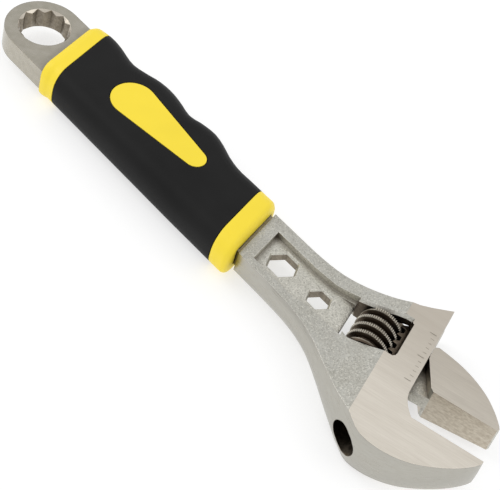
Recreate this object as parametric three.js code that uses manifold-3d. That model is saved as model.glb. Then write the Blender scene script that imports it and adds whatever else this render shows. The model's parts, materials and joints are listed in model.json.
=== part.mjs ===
// Adjustable wrench with a 12-point ring end, two hex holes in the shank and a two-colour grip.
// Millimetres, +Z up, the tool lying flat. +X runs from the ring to the jaws, and +Y is the side
// that the movable jaw slides out to.
import * as THREE from 'three';
import { mergeVertices } from 'three/addons/utils/BufferGeometryUtils.js';
import Module from 'manifold-3d';

const wasm = await Module();
wasm.setup();

// ---------------------------------------------------------------- driving dimensions
const DEG = Math.PI / 180;
const FIT = 0.3; // gap left between pieces that touch

// Ring end and the flat bar behind it
const RING_AF = 19; // across flats of the 12-point hole
const RING_TURN = 7 * DEG; // turn of the 12-point hole
const RING_OUTER = 16.35; // outside radius, and half the width of the bar
const RING_OFFSET = { x: 0.55, y: -0.55 }; // the outside is this far off the hole's centre
const BAR_NEAR = RING_OFFSET.y - RING_OUTER;
const BAR_FAR = RING_OFFSET.y + RING_OUTER;
const RING_CHAMFER = 1.5;
const BAR_HALF = 4.95; // half the thickness of the ring, the bar and the shank rims
const TANG_HALF = 3.9; // half the thickness of the tang inside the grip
const TANG_NEAR = -10.8;
const TANG_FAR = 12.6;

// The ends of the grip, the shoulder and the end of the hex panel all lean by this angle
const LEAN = Math.tan(14.3 * DEG);
const SHOULDER_AT = 131.1; // all *_AT values are distances from the ring centre along the axis

// Shank panel and its hex holes
const PANEL_AT = 137.1;
const PANEL_HALF = 2.45; // half the thickness of the web between the two panels
const HEXES = [
  { at: 146.3, side: 0.8, flats: 10.5, chamfer: 0.9 },
  { at: 166.2, side: 1.0, flats: 8.2, chamfer: 0.7 },
];
const RAMP_REACH = 162.5; // where the thumb ramp leaves the panel
const RAMP_EDGE_HALF = 1.25; // half the thickness of the web where it meets the worm window

// Head frame. "reach" is measured along the jaws, "slide" along the travel of the movable jaw.
const HEAD_TURN = 20 * DEG;
const FLARE_REACH = 160; // where the shank starts to thicken
const GROUND_REACH = 187.5; // where the ground faces start
const TIP_REACH = 237;
const GROUND_HALF = 9.7; // half the head thickness at the start of the ground faces
const TIP_HALF = 6.2;
const SHANK_CROWN = 1.4; // how far the rounded sides stand out at mid thickness
const HEAD_CROWN = 2.5;
const FRONT_REACH = 202.6; // the face that the movable jaw slides along
const FIXED_JAW_SLIDE = -88.4;
const FRONT_FAR_SLIDE = -34.4;
const THROAT_SLIDE = -79;
const THROAT_REACH = 207.5;

// Movable jaw
const MOVABLE_JAW_SLIDE = -73.2; // the jaws stand 15.2 mm apart
const JAW_BACK_SLIDE = -53.8;
const HEEL_SLIDE = -60.5;
const HEEL_REACH = 209.5;
const WEB_HALF = 3.1;
const ROD_REACH = 190.2;
const ROD_RADIUS = 5.3;
const ROD_NEAR_SLIDE = -92;
const ROD_FAR_SLIDE = -47.5;
const RACK_FLAT_REACH = 188.1; // the flat that the rack's teeth are cut in
const RACK_TEETH_FROM = -8; // grooves are counted from the middle of the worm window
const RACK_TEETH_TO = 3;

// Worm, its pin and its spring
const WORM_PITCH = 4.2;
const WORM_REACH = 181;
const WORM_RADIUS = 9;
const WORM_CORE = 6.7;
const WORM_LENGTH = 18.2;
const WORM_END_CHAMFER = 1.1;
const THREAD_TURNS = 6; // wound longer than the worm, then cut to its length
const HUB_RADIUS = 4.6;
const HUB_LENGTH = 0.8;
const WINDOW = { low: 169.3, high: 191.9, near: -68.6, far: -49 };
const PIN_RADIUS = 2;
const PIN_HEAD_RADIUS = 3;
const PIN_TIP_SLIDE = -75;
const PIN_HEAD_SLIDE = -43.6;
const SPRING_RADIUS = 2.75; // to the middle of the wire
const SPRING_WIRE = 0.35;
const SPRING_LENGTH = 4.4;
const SPRING_TURNS = 4;

// Grip: the yellow core shows as two collars and a teardrop, the black cover fills the rest
const GRIP_HALF = 9.5;
const GRIP_CORNER = 7.6;
const COLLAR_AT = 16.3;
const COVER_AT = 24;
const COVER_END_AT = 121;
const GRIP_END_AT = 129.6;
const COVER_WALL = 2.2;
const RING_COLLAR_TAPER = 4; // length over which the ring end's collar narrows
const RING_COLLAR_CORNER = 5.6; // tighter corners there, which cover the bar's edges
const HEAD_COLLAR_ROUND = 2.6;
const TEARDROP = { bigAt: 54.4, bigSide: 1.8, bigRadius: 9.4, smallAt: 91.3, smallSide: 2.4, smallRadius: 4.6 };

// ---------------------------------------------------------------- materials
function finish(color, roughness, metalness) {
  return new THREE.MeshStandardMaterial({ color, roughness, metalness });
}
const NICKEL = finish(0xaaa9a0, 0.38, 1);
const JAW_STEEL = finish(0xbdb6ac, 0.34, 1);
const WORM_STEEL = finish(0x4a4038, 0.42, 1);
const PIN_STEEL = finish(0x8d8a84, 0.35, 1);
const SPRING_STEEL = finish(0x9a9c9e, 0.3, 1);
const YELLOW = finish(0xfde047, 0.45, 0);
const BLACK = finish(0x2a2a2a, 0.6, 0);

// ---------------------------------------------------------------- solids
function toSolid(geometry) {
  const bare = geometry.clone();
  bare.deleteAttribute('normal');
  bare.deleteAttribute('uv');
  const merged = mergeVertices(bare, 1e-5);
  return new wasm.Manifold(new wasm.Mesh({
    numProp: 3,
    vertProperties: new Float32Array(merged.attributes.position.array),
    triVerts: new Uint32Array(merged.index.array),
  }));
}

// A cutter for the upper face, together with its mirror image for the lower face.
function onBothFaces(solid) {
  const { vertProperties, triVerts } = solid.getMesh();
  const mirrored = vertProperties.map((value, i) => (i % 3 === 2 ? -value : value));
  const turned = triVerts.slice();
  for (let i = 0; i < turned.length; i += 3) [turned[i], turned[i + 1]] = [turned[i + 1], turned[i]];
  return solid.add(new wasm.Manifold(new wasm.Mesh({ numProp: 3, vertProperties: mirrored, triVerts: turned })));
}

function addPiece(group, name, solid, material) {
  const data = solid.getMesh();
  const geometry = new THREE.BufferGeometry();
  geometry.setAttribute('position', new THREE.BufferAttribute(data.vertProperties, 3));
  geometry.setIndex(new THREE.BufferAttribute(data.triVerts, 1));
  geometry.computeVertexNormals();
  const mesh = new THREE.Mesh(geometry, material);
  mesh.name = name;
  group.add(mesh);
}

// A closed skin over rings of points: every ring has the same number of points.
function skin(rings) {
  const count = rings[0].length;
  const positions = rings.flat().flatMap((p) => [p.x, p.y, p.z]);
  const faces = [];
  for (let r = 0; r + 1 < rings.length; r += 1) {
    for (let i = 0; i < count; i += 1) {
      const a = r * count + i;
      const b = r * count + ((i + 1) % count);
      faces.push(a, b, b + count, a, b + count, a + count);
    }
  }
  addCap(faces, rings[0], 0, true);
  addCap(faces, rings[rings.length - 1], (rings.length - 1) * count, false);
  const geometry = new THREE.BufferGeometry();
  geometry.setAttribute('position', new THREE.Float32BufferAttribute(positions, 3));
  geometry.setIndex(faces);
  return geometry;
}

// Cap a ring. A ring whose points share one X is capped in YZ, any other in XY.
function addCap(faces, ring, first, flip) {
  const upright = Math.max(...ring.map((p) => Math.abs(p.z - ring[0].z))) > 1e-6;
  const outline = ring.map((p) => (upright ? new THREE.Vector2(p.y, p.z) : new THREE.Vector2(p.x, p.y)));
  for (const [a, b, c] of THREE.ShapeUtils.triangulateShape(outline, [])) {
    faces.push(...(flip ? [first + a, first + c, first + b] : [first + a, first + b, first + c]));
  }
}

function prism(points, bottom, top) {
  const geometry = new THREE.ExtrudeGeometry(new THREE.Shape(points), { depth: top - bottom, bevelEnabled: false });
  return geometry.translate(0, 0, bottom);
}

function points(...pairs) {
  return pairs.map(([x, y]) => new THREE.Vector2(x, y));
}

function evenly(from, to, steps) {
  return Array.from({ length: steps + 1 }, (_, i) => from + (to - from) * i / steps);
}

// Turn a shape drawn in head coordinates (reach, slide) into the tool's own X and Y.
function atHead(geometry) {
  return geometry.rotateZ(HEAD_TURN);
}

function headToTool(reach, slide) {
  const cos = Math.cos(HEAD_TURN);
  const sin = Math.sin(HEAD_TURN);
  return new THREE.Vector2(reach * cos - slide * sin, reach * sin + slide * cos);
}

// A cylinder or cone along the slide direction, from one slide position to another.
function alongSlide(reach, from, to, radiusFrom, radiusTo = radiusFrom, segments = 40) {
  const geometry = new THREE.CylinderGeometry(radiusTo, radiusFrom, to - from, segments);
  return atHead(geometry.translate(reach, (from + to) / 2, 0));
}

// ---------------------------------------------------------------- wrench body
// Half the thickness of the shank and head at a given reach.
function halfThickness(reach) {
  if (reach <= FLARE_REACH) return BAR_HALF;
  if (reach <= GROUND_REACH) {
    const along = (reach - FLARE_REACH) / (GROUND_REACH - FLARE_REACH);
    return BAR_HALF + (GROUND_HALF - BAR_HALF) * along * along;
  }
  return GROUND_HALF - (GROUND_HALF - TIP_HALF) * (reach - GROUND_REACH) / (TIP_REACH - GROUND_REACH);
}

// The side view of the shank and head, pulled through their whole width.
function thicknessProfile(from, to) {
  const stations = [from, ...evenly(FLARE_REACH, GROUND_REACH, 10), to];
  const used = stations.filter((reach) => reach >= from && reach <= to);
  const upper = used.map((reach) => new THREE.Vector2(reach, halfThickness(reach)));
  const lower = used.reverse().map((reach) => new THREE.Vector2(reach, -halfThickness(reach)));
  const geometry = prism([...upper, ...lower], 0, 200).rotateX(Math.PI / 2);
  return atHead(geometry);
}

// One stretch of the head's outline. "crown" tells how far the rounded side stands out at mid
// thickness, from 0 at the start of the stretch to 1 at its end.
function stretch(curve, steps, crown = () => 0) {
  const found = [];
  for (let i = 0; i < steps; i += 1) {
    const along = i / steps;
    const tangent = curve.getTangent(along);
    const outward = new THREE.Vector2(tangent.y, -tangent.x);
    found.push({ point: curve.getPoint(along), outward, crown: crown(along) });
  }
  return found;
}

// Outline of the shank and head at their top edge, anticlockwise from the shoulder's near corner.
function headOutline() {
  const near = new THREE.SplineCurve(points(
    [SHOULDER_AT - LEAN * -11.9, -11.9], [153, -12.1], [166, -12.9], [178, -15.6],
    [189, -20.4], [199, -25.2], [206, -28.2], [212, -30.6],
  ));
  const corner = near.getPoint(1);
  const tip = headToTool(TIP_REACH, FIXED_JAW_SLIDE);
  const back = new THREE.SplineCurve([
    corner, headToTool(194, -106), headToTool(201, -107.7), headToTool(208, -107.5), headToTool(215, -105.8),
    headToTool(222, -102.4), headToTool(229, -97.8), headToTool(234, -93.3), headToTool(236.6, -90), tip,
  ]);
  const face = new THREE.LineCurve(tip, headToTool(THROAT_REACH, FIXED_JAW_SLIDE));
  const throat = new THREE.QuadraticBezierCurve(
    headToTool(THROAT_REACH, FIXED_JAW_SLIDE),
    headToTool(FRONT_REACH + 0.4, FIXED_JAW_SLIDE + 4.6),
    headToTool(FRONT_REACH, THROAT_SLIDE),
  );
  const front = new THREE.LineCurve(headToTool(FRONT_REACH, THROAT_SLIDE), headToTool(FRONT_REACH, FRONT_FAR_SLIDE));
  const far = new THREE.SplineCurve([
    headToTool(FRONT_REACH, FRONT_FAR_SLIDE),
    ...points([193.4, 27.6], [187, 23.9], [180, 21], [171, 17.7], [162, 15.2], [152, 14.1], [140, 13.9]),
    new THREE.Vector2(SHOULDER_AT - LEAN * 13.8, 13.8),
  ]);
  const shoulder = new THREE.LineCurve(far.getPoint(1), near.getPoint(0));
  const nearCrown = (along) => Math.min(1, along * 8) * (SHANK_CROWN + (HEAD_CROWN - SHANK_CROWN) * along);
  const backCrown = (along) => HEAD_CROWN * (1 - along);
  const farCrown = (along) => SHANK_CROWN * Math.min(1, along * 5, (1 - along) * 8);
  return [
    ...stretch(near, 20, nearCrown), ...stretch(back, 24, backCrown), ...stretch(face, 1), ...stretch(throat, 4),
    ...stretch(front, 1), ...stretch(far, 22, farCrown), ...stretch(shoulder, 1),
  ];
}

// The shank and head before anything is cut in them, with rounded sides.
function headBlank() {
  const outline = headOutline();
  const levels = [-1, -0.75, -0.4, 0, 0.4, 0.75, 1];
  const ring = (height, level) => outline.map(({ point, outward, crown }) => {
    const reach = point.x * Math.cos(HEAD_TURN) + point.y * Math.sin(HEAD_TURN);
    const out = crown * (1 - level * level);
    const z = height ?? level * halfThickness(reach);
    return new THREE.Vector3(point.x + outward.x * out, point.y + outward.y * out, z);
  });
  const rings = [ring(-14, 1), ...levels.map((level) => ring(null, level)), ring(14, 1)];
  return toSolid(skin(rings)).intersect(toSolid(thicknessProfile(90, 250)));
}

function ringEnd() {
  const outline = [];
  for (let i = 0; i <= 32; i += 1) {
    const angle = Math.PI / 2 + Math.PI * i / 32;
    outline.push(new THREE.Vector2(
      RING_OFFSET.x + RING_OUTER * Math.cos(angle), RING_OFFSET.y + RING_OUTER * Math.sin(angle),
    ));
  }
  outline.push(...points([22, BAR_NEAR], [29, TANG_NEAR], [29, TANG_FAR], [22, BAR_FAR]));
  return toSolid(prism(outline, -BAR_HALF, BAR_HALF));
}

function tang() {
  const outline = points([27, TANG_NEAR], [136, TANG_NEAR], [132, TANG_FAR], [27, TANG_FAR]);
  return toSolid(prism(outline, -TANG_HALF, TANG_HALF));
}

// A flat-bottomed ring of chamfer on each face of a hole, and the hole itself.
function holeThrough(outline, radius, chamfer, half) {
  const hole = toSolid(prism(outline, -20, 20));
  const centre = outline.reduce((sum, p) => sum.add(p), new THREE.Vector2()).divideScalar(outline.length);
  const sides = outline.length === 6 ? 6 : 48;
  let cutter = hole;
  for (const side of [1, -1]) {
    const mouth = new THREE.CylinderGeometry(radius + chamfer, radius, chamfer, sides);
    mouth.rotateY(sides === 6 ? Math.PI / 6 : 0).rotateX(Math.PI / 2 * side);
    mouth.translate(centre.x, centre.y, side * (half - chamfer / 2 + 0.01));
    cutter = cutter.add(toSolid(mouth));
  }
  return cutter;
}

function ringHole() {
  const outer = RING_AF / Math.sqrt(3);
  const inner = RING_AF / 2 / Math.cos(15 * DEG);
  const outline = [];
  for (let i = 0; i < 24; i += 1) {
    const radius = i % 2 === 0 ? outer : inner;
    const angle = RING_TURN + i * 15 * DEG;
    outline.push(new THREE.Vector2(radius * Math.cos(angle), radius * Math.sin(angle)));
  }
  return holeThrough(outline, inner - 0.3, RING_CHAMFER, BAR_HALF);
}

function hexHole({ at, side, flats, chamfer }) {
  const radius = flats / Math.sqrt(3);
  const outline = [];
  for (let i = 0; i < 6; i += 1) {
    outline.push(new THREE.Vector2(at + radius * Math.cos(i * 60 * DEG), side + radius * Math.sin(i * 60 * DEG)));
  }
  return holeThrough(outline, radius, chamfer, PANEL_HALF);
}

// The sunk panel around the hex holes, on the upper face: its walls lean outward as they rise.
function panel() {
  const floor = points(
    [PANEL_AT + LEAN * 8, -8], [159, -8.2], [167, -6.2], [183.4, -5.6],
    [175.7, 12.5], [166, 9.2], [156, 8.2], [PANEL_AT - LEAN * 8, 8],
  );
  const grow = { x: 0.35, y: 0.8 };
  const centre = new THREE.Vector2(162, 0.6);
  const rim = floor.map((p) => new THREE.Vector2(
    p.x + grow.x * Math.sign(p.x - centre.x), p.y + grow.y * Math.sign(p.y - centre.y),
  ));
  const ring = (outline, z) => outline.map((p) => new THREE.Vector3(p.x, p.y, z));
  return toSolid(skin([ring(floor, PANEL_HALF), ring(rim, BAR_HALF + 1), ring(rim, 14)]));
}

// The thumb ramp beside the worm window, on the upper face.
function ramp() {
  const side = points(
    [RAMP_REACH, PANEL_HALF], [WINDOW.low - 0.9, RAMP_EDGE_HALF + 0.15], [WINDOW.low, RAMP_EDGE_HALF - 0.5],
    [WINDOW.low + 1, RAMP_EDGE_HALF - 0.5], [WINDOW.low + 1, 6], [RAMP_REACH, 6],
  );
  const wedge = new THREE.ExtrudeGeometry(new THREE.Shape(side), { depth: 16.2, bevelEnabled: false });
  return toSolid(atHead(wedge.rotateX(Math.PI / 2).translate(0, -49.6, 0)));
}

// The opening for the worm, with its bend at the handle side and a bevel along the jaw side.
function wormWindow() {
  const { low, high, near, far } = WINDOW;
  const outline = points(
    [low, near + 2.6], [low + 4, near], [high - 1, near], [high, near + 1], [high, far - 1.3],
    [high - 1.3, far], [low, far],
  );
  const edge = points([high - 0.5, 7.2], [high + 1.1, 12], [high - 0.5, 12]);
  const wedge = new THREE.ExtrudeGeometry(new THREE.Shape(edge), { depth: far - near - 3, bevelEnabled: false });
  const bevel = toSolid(atHead(wedge.rotateX(Math.PI / 2).translate(0, far - 1.3, 0)));
  return toSolid(atHead(prism(outline, -20, 20))).add(onBothFaces(bevel));
}

// The rolled edge along the far side of the window, on the upper face. It follows the face's height.
function windowRim() {
  const { low, high, far } = WINDOW;
  const width = 1.3;
  const depth = 1.5;
  const rings = evenly(low - 0.5, high - 0.6, 8).map((reach) => {
    const top = halfThickness(reach);
    const corners = [[far - 0.3, top - depth], [far + width, top + 0.1], [far + width, top + 3], [far - 0.3, top + 3]];
    return corners.map(([slide, z]) => {
      const place = headToTool(reach, slide);
      return new THREE.Vector3(place.x, place.y, z);
    });
  });
  return toSolid(skin(rings));
}

// The round bore for the jaw's rod and the slot for its web, both open at the far side.
function slideway() {
  const bore = alongSlide(ROD_REACH, -125, -20, ROD_RADIUS + FIT, ROD_RADIUS + FIT, 48);
  const slotDepth = HEEL_REACH + 0.6 + FIT - ROD_REACH;
  const slot = new THREE.BoxGeometry(slotDepth, 80, 2 * (WEB_HALF + FIT));
  slot.translate(ROD_REACH + slotDepth / 2, FIXED_JAW_SLIDE - FIT + 40, 0);
  return toSolid(bore).add(toSolid(atHead(slot)));
}

function pinBore() {
  const shaft = alongSlide(WORM_REACH, PIN_TIP_SLIDE - 0.6, -30, PIN_RADIUS + FIT);
  const head = alongSlide(WORM_REACH, PIN_HEAD_SLIDE - 2.3, -30, PIN_HEAD_RADIUS + FIT);
  return toSolid(shaft).add(toSolid(head));
}

function wrenchBody() {
  let body = headBlank().add(tang()).add(ringEnd()).subtract(ringHole());
  body = body.subtract(onBothFaces(panel()));
  for (const hex of HEXES) body = body.subtract(hexHole(hex));
  body = body.subtract(onBothFaces(ramp())).subtract(onBothFaces(windowRim()));
  return body.subtract(wormWindow()).subtract(slideway()).subtract(pinBore());
}

// ---------------------------------------------------------------- movable jaw
function jawBlock() {
  const start = FRONT_REACH + FIT;
  const outline = [new THREE.Vector2(start, HEEL_SLIDE), new THREE.Vector2(HEEL_REACH - 0.8, MOVABLE_JAW_SLIDE + 1.2)];
  outline.push(new THREE.Vector2(HEEL_REACH + 0.6, MOVABLE_JAW_SLIDE));
  outline.push(new THREE.Vector2(TIP_REACH - 0.6, MOVABLE_JAW_SLIDE), new THREE.Vector2(TIP_REACH, MOVABLE_JAW_SLIDE + 0.9));
  const back = new THREE.SplineCurve(points(
    [236.3, -70.9], [233, -66.8], [228, -62.2], [222, -58.6], [215.5, -56], [209, -54.5], [204.3, JAW_BACK_SLIDE],
  ));
  outline.push(...back.getPoints(22), new THREE.Vector2(start, JAW_BACK_SLIDE - 0.8));
  return toSolid(atHead(prism(outline, -14, 14))).intersect(toSolid(thicknessProfile(195, 250)));
}

function jawWeb() {
  const outline = points(
    [ROD_REACH, MOVABLE_JAW_SLIDE], [HEEL_REACH + 2, MOVABLE_JAW_SLIDE + 0.02], [HEEL_REACH + 2, JAW_BACK_SLIDE - 6],
    [FRONT_REACH + 2, JAW_BACK_SLIDE - 0.8], [ROD_REACH, JAW_BACK_SLIDE - 0.8],
  );
  return toSolid(atHead(prism(outline, -WEB_HALF, WEB_HALF)));
}

// The flat and the rack's grooves. The grooves lean by the worm's lead angle, so the thread runs
// square through them, and each one widens as it leaves its floor.
function rackCuts() {
  const floor = WORM_REACH + WORM_RADIUS + FIT;
  const mouth = floor - 3.9;
  const lead = Math.atan(WORM_PITCH / (2 * Math.PI * (WORM_RADIUS - 1)));
  const outline = points([mouth, -2.4], [floor, -1], [floor, 1], [mouth, 2.4]);
  const middle = (WINDOW.near + WINDOW.far) / 2;
  const flat = new THREE.BoxGeometry(10, 80, 20).translate(RACK_FLAT_REACH - 5, middle, 0);
  let cuts = toSolid(atHead(flat));
  for (let i = RACK_TEETH_FROM; i <= RACK_TEETH_TO; i += 1) {
    const groove = prism(outline, -8, 8).rotateX(-lead).translate(0, middle + (i + 0.5) * WORM_PITCH, 0);
    cuts = cuts.add(toSolid(atHead(groove)));
  }
  return cuts;
}

function movableJaw() {
  const bar = toSolid(alongSlide(ROD_REACH, ROD_NEAR_SLIDE, ROD_FAR_SLIDE - 1, ROD_RADIUS, ROD_RADIUS, 48));
  const rod = bar.add(toSolid(alongSlide(ROD_REACH, ROD_FAR_SLIDE - 1, ROD_FAR_SLIDE, ROD_RADIUS, ROD_RADIUS - 1, 48)));
  return rod.subtract(rackCuts()).add(jawWeb()).add(jawBlock());
}

// ---------------------------------------------------------------- worm
// One thread wound round the core. Each turn's last edge is the next turn's first edge.
function threadSolid(turns) {
  const stepsPerTurn = 40;
  const profile = [[0, WORM_CORE], [0.85, WORM_CORE], [1.55, WORM_RADIUS], [2.65, WORM_RADIUS], [3.35, WORM_CORE]];
  const total = turns * stepsPerTurn;
  const positions = [];
  const corner = (step, [slide, radius]) => {
    const angle = 2 * Math.PI * step / stepsPerTurn;
    positions.push(radius * Math.cos(angle), slide + WORM_PITCH * step / stepsPerTurn, radius * Math.sin(angle));
  };
  for (let step = 0; step <= total; step += 1) {
    for (const place of profile) corner(step, place);
  }
  const width = profile.length;
  const vertex = (step, i) => (i < width ? step * width + i : (step + stepsPerTurn) * width);
  const faces = [];
  for (let step = 0; step < total; step += 1) {
    for (let i = 0; i < width; i += 1) {
      if (i === width - 1 && step + stepsPerTurn + 1 > total) continue;
      faces.push(vertex(step, i), vertex(step, i + 1), vertex(step + 1, i + 1));
      faces.push(vertex(step, i), vertex(step + 1, i + 1), vertex(step + 1, i));
    }
  }
  const lowEnd = positions.length / 3;
  positions.push(0, 0, 0);
  const highEnd = lowEnd + 1;
  positions.push(0, WORM_PITCH * turns, 0);
  for (let step = 0; step < stepsPerTurn; step += 1) faces.push(lowEnd, vertex(step, 0), vertex(step + 1, 0));
  for (let i = 0; i < width; i += 1) faces.push(lowEnd, vertex(0, i + 1), vertex(0, i));
  const last = total - stepsPerTurn;
  for (let step = last; step < total; step += 1) {
    faces.push(highEnd, vertex(step + 1, width - 1), vertex(step, width - 1));
  }
  for (let i = 0; i + 1 < width; i += 1) faces.push(highEnd, vertex(total, i), vertex(total, i + 1));
  faces.push(highEnd, vertex(last, width - 1), vertex(total, 0));
  const geometry = new THREE.BufferGeometry();
  geometry.setAttribute('position', new THREE.Float32BufferAttribute(positions, 3));
  geometry.setIndex(faces);
  return geometry;
}

function wormKnurl() {
  const start = WINDOW.near + FIT;
  const middle = (WINDOW.near + WINDOW.far) / 2;
  const thread = threadSolid(THREAD_TURNS).translate(WORM_REACH, middle - WORM_PITCH * THREAD_TURNS / 2, 0);
  const whole = WORM_LENGTH + HUB_LENGTH;
  const profile = points(
    [0, 0], [WORM_RADIUS - WORM_END_CHAMFER, 0], [WORM_RADIUS + 0.2, WORM_END_CHAMFER + 0.2],
    [WORM_RADIUS + 0.2, WORM_LENGTH - WORM_END_CHAMFER - 0.2], [WORM_RADIUS - WORM_END_CHAMFER, WORM_LENGTH],
    [HUB_RADIUS, WORM_LENGTH], [HUB_RADIUS, whole], [0, whole],
  );
  const limit = atHead(new THREE.LatheGeometry(profile, 40).translate(WORM_REACH, start, 0));
  const bore = alongSlide(WORM_REACH, -80, -40, PIN_RADIUS + FIT);
  const springSeat = alongSlide(WORM_REACH, start - 1, start + SPRING_LENGTH + FIT, SPRING_RADIUS + SPRING_WIRE + FIT);
  const hub = toSolid(alongSlide(WORM_REACH, start + 2, start + whole, HUB_RADIUS));
  const blank = toSolid(atHead(thread)).intersect(toSolid(limit)).add(hub);
  return blank.subtract(toSolid(bore)).subtract(toSolid(springSeat));
}

function wormPin() {
  const shaft = toSolid(alongSlide(WORM_REACH, PIN_TIP_SLIDE, PIN_HEAD_SLIDE - 1, PIN_RADIUS, PIN_RADIUS, 32));
  const head = toSolid(alongSlide(WORM_REACH, PIN_HEAD_SLIDE - 2, PIN_HEAD_SLIDE, PIN_HEAD_RADIUS, PIN_HEAD_RADIUS, 32));
  const slot = new THREE.BoxGeometry(8, 1.4, 0.9).translate(WORM_REACH, PIN_HEAD_SLIDE, 0);
  return shaft.add(head).subtract(toSolid(atHead(slot)));
}

// A small coil round the pin, in a seat in the worm's near end.
function wormSpring() {
  const rise = SPRING_LENGTH - 2 * SPRING_WIRE - FIT;
  const sides = 6;
  const steps = SPRING_TURNS * 14;
  const rings = [];
  for (let step = 0; step <= steps; step += 1) {
    const along = step / steps;
    const turn = 2 * Math.PI * SPRING_TURNS * along;
    const ring = [];
    for (let i = 0; i < sides; i += 1) {
      const angle = 2 * Math.PI * i / sides;
      const radius = SPRING_RADIUS + SPRING_WIRE * Math.cos(angle);
      const height = rise * along + SPRING_WIRE * Math.sin(angle);
      ring.push(new THREE.Vector3(radius * Math.cos(turn), height, radius * Math.sin(turn)));
    }
    rings.push(ring);
  }
  const coil = skin(rings).translate(WORM_REACH, WINDOW.near + FIT + SPRING_WIRE, 0);
  return toSolid(atHead(coil));
}

// ---------------------------------------------------------------- grip
const GRIP_NEAR = new THREE.SplineCurve(points(
  [COLLAR_AT, 18.9], [19.4, 18], [COVER_AT, 17.6], [60, 17.7], [95, 17.8], [COVER_END_AT, 17.6], [GRIP_END_AT, 17.5],
));
const GRIP_FAR = new THREE.SplineCurve(points(
  [COLLAR_AT, 17.5], [19, 19.8], [COVER_AT + 1, 20.9], [31.5, 20.4], [40.5, 18.5], [48, 19.8], [54.5, 21.6], [61.5, 22.2],
  [68, 21.4], [75.5, 19.7], [82, 21.2], [89, 22], [95, 20.8], [101.2, 18.5], [107.5, 17.3], [114, 17.4],
  [COVER_END_AT, 17.5], [GRIP_END_AT, 17.6],
));

// Read a spline drawn over distance at one distance.
function valueAt(spline, distance) {
  let low = 0;
  let high = 1;
  for (let i = 0; i < 30; i += 1) {
    const middle = (low + high) / 2;
    if (spline.getPoint(middle).x < distance) low = middle;
    else high = middle;
  }
  return spline.getPoint(low).y;
}

// The radius of the grip's corners, which tightens towards the end that wraps the bar.
function cornerAt(at) {
  const along = Math.min(1, (at - COLLAR_AT) / RING_COLLAR_TAPER);
  return RING_COLLAR_CORNER + (GRIP_CORNER - RING_COLLAR_CORNER) * along;
}

// One leaning cross-section of the grip: a rounded rectangle, made smaller all round by "inset".
function gripSection(at, inset) {
  const near = valueAt(GRIP_NEAR, at) - inset;
  const far = valueAt(GRIP_FAR, at) - inset;
  const half = GRIP_HALF - inset;
  const corner = Math.min(half, cornerAt(at) - inset * 0.6);
  const ring = [];
  const corners = [[far, half, 0], [-near, half, 90], [-near, -half, 180], [far, -half, 270]];
  for (const [side, height, start] of corners) {
    const y = side - corner * Math.sign(side);
    const z = height - corner * Math.sign(height);
    for (let i = 0; i <= 5; i += 1) {
      const angle = (start + 18 * i) * DEG;
      const across = y + corner * Math.cos(angle);
      ring.push(new THREE.Vector3(at - LEAN * across, across, z + corner * Math.sin(angle)));
    }
  }
  return ring;
}

function gripLoft(stations, inset) {
  return toSolid(skin(stations.map((at) => gripSection(at, inset(at)))));
}

function teardrop(grow, bottom, top) {
  const { bigAt, bigSide, bigRadius, smallAt, smallSide, smallRadius } = TEARDROP;
  const axis = Math.atan2(smallSide - bigSide, smallAt - bigAt);
  const tangent = Math.acos((bigRadius - smallRadius) / Math.hypot(smallAt - bigAt, smallSide - bigSide));
  const outline = new THREE.Shape();
  outline.absarc(bigAt, bigSide, bigRadius + grow, axis + tangent, axis - tangent + 2 * Math.PI, false);
  outline.absarc(smallAt, smallSide, smallRadius + grow, axis - tangent, axis + tangent, false);
  const geometry = new THREE.ExtrudeGeometry(outline, { depth: top - bottom, bevelEnabled: false, curveSegments: 20 });
  return toSolid(geometry.translate(0, 0, bottom));
}

// The collars round over at the grip's two ends.
function collarInset(at) {
  const fromHeadEnd = GRIP_END_AT - at;
  if (fromHeadEnd < HEAD_COLLAR_ROUND) {
    return HEAD_COLLAR_ROUND - Math.sqrt(HEAD_COLLAR_ROUND ** 2 - (HEAD_COLLAR_ROUND - fromHeadEnd) ** 2);
  }
  const fromRingEnd = at - COLLAR_AT;
  return fromRingEnd < RING_COLLAR_TAPER ? (1 - fromRingEnd / RING_COLLAR_TAPER) ** 2 : 0;
}

function collar(stations) {
  return gripLoft(stations, collarInset);
}

// Everything inside the grip that the steel fills, with a fitting gap round it.
function steelSpace() {
  const bar = points(
    [5, BAR_NEAR - FIT], [22.1, BAR_NEAR - FIT], [29.3, TANG_NEAR - FIT],
    [140, TANG_NEAR - FIT], [140, TANG_FAR + FIT], [29.3, TANG_FAR + FIT],
    [22.1, BAR_FAR + FIT], [5, BAR_FAR + FIT],
  );
  const thick = toSolid(prism(bar, -BAR_HALF - FIT, BAR_HALF + FIT));
  const block = new THREE.BoxGeometry(27 + FIT, 60, 20).translate((29 + FIT) / 2 + 2, 0, 0);
  const slim = toSolid(prism(bar, -TANG_HALF - FIT, TANG_HALF + FIT));
  return thick.intersect(toSolid(block)).add(slim);
}

function gripCore() {
  const sleeve = gripLoft(evenly(COVER_AT - 1, COVER_END_AT + 1, 20), () => COVER_WALL);
  const taper = evenly(COLLAR_AT, COLLAR_AT + RING_COLLAR_TAPER, 5);
  const rounding = evenly(GRIP_END_AT - HEAD_COLLAR_ROUND, GRIP_END_AT, 6);
  const ringCollar = collar([...taper, 21.5, COVER_AT]);
  const headCollar = collar([COVER_END_AT, 124, ...rounding]);
  const pads = teardrop(0, -GRIP_HALF, GRIP_HALF);
  return sleeve.add(ringCollar).add(headCollar).add(pads).subtract(steelSpace());
}

function gripCover() {
  const outside = gripLoft(evenly(COVER_AT + FIT, COVER_END_AT - FIT, 34), () => 0);
  const inside = gripLoft(evenly(COVER_AT - 2, COVER_END_AT + 2, 20), () => COVER_WALL - FIT);
  return outside.subtract(inside).subtract(teardrop(FIT, -12, 12));
}

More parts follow.
